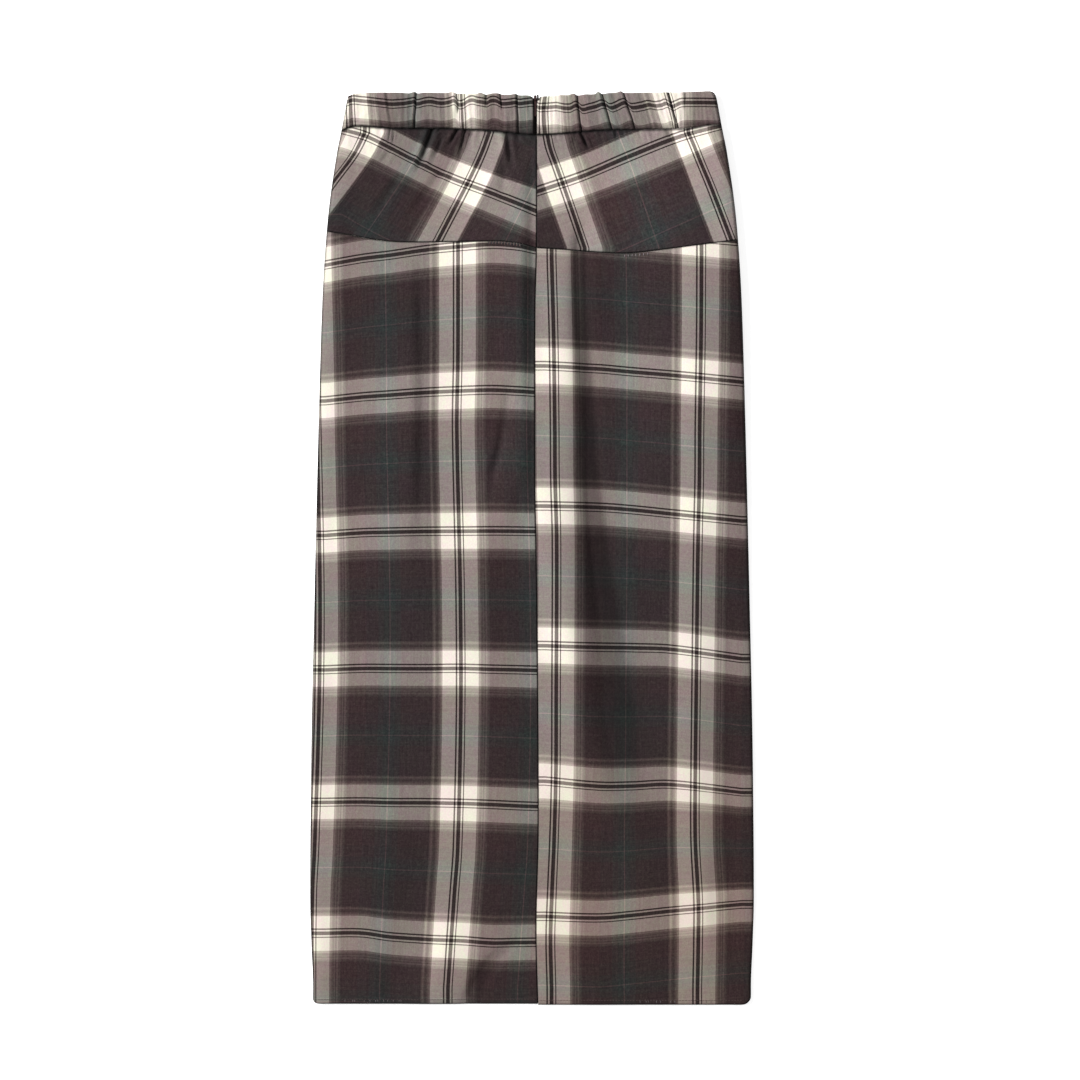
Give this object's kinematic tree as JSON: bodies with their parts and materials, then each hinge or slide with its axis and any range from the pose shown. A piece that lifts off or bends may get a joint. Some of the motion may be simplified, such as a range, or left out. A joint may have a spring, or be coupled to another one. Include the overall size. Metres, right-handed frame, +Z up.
{
  "type": "midi skirt",
  "caption": "Slim calf-length plaid skirt laid flat, back up: gathered waistband, bias hip yokes, centre back seam with a concealed zip and straight lower panels.",
  "frame": {"origin": "middle of the skirt's outline seen from above, on the surface that it lies on", "axes": "+X across the skirt to the right as it is seen with its back uppermost, +Y from the hem towards the waist, +Z up from the surface"},
  "size_m": [0.444, 0.914, 0.0072],
  "materials": {
    "plaid_cloth": "brushed twill weave, matt with a slight sheen",
    "zip_tape": "fine woven tape, matt",
    "zip_metal": "enamelled, semi-gloss"
  },
  "bodies": {
    "skirt": {"waistband_front": "plaid_cloth", "panel_front": "plaid_cloth", "waistband_back_left": "plaid_cloth", "waistband_back_right": "plaid_cloth", "yoke_back_left": "plaid_cloth", "yoke_back_right": "plaid_cloth", "panel_back_left": "plaid_cloth", "panel_back_right": "plaid_cloth", "zip_tape": "zip_tape", "zip_slider": "zip_metal"},
    "zip_pull": {"zip_pull": "zip_metal"}
  },
  "joints": [
    {"name": "pull_tab_hinge", "type": "hinge", "parent": "skirt", "child": "zip_pull", "pos_m": [0.0032, 0.4486, 0.0053], "axis": [-1, 0, 0], "range_deg": [0, 150]}
  ]
}
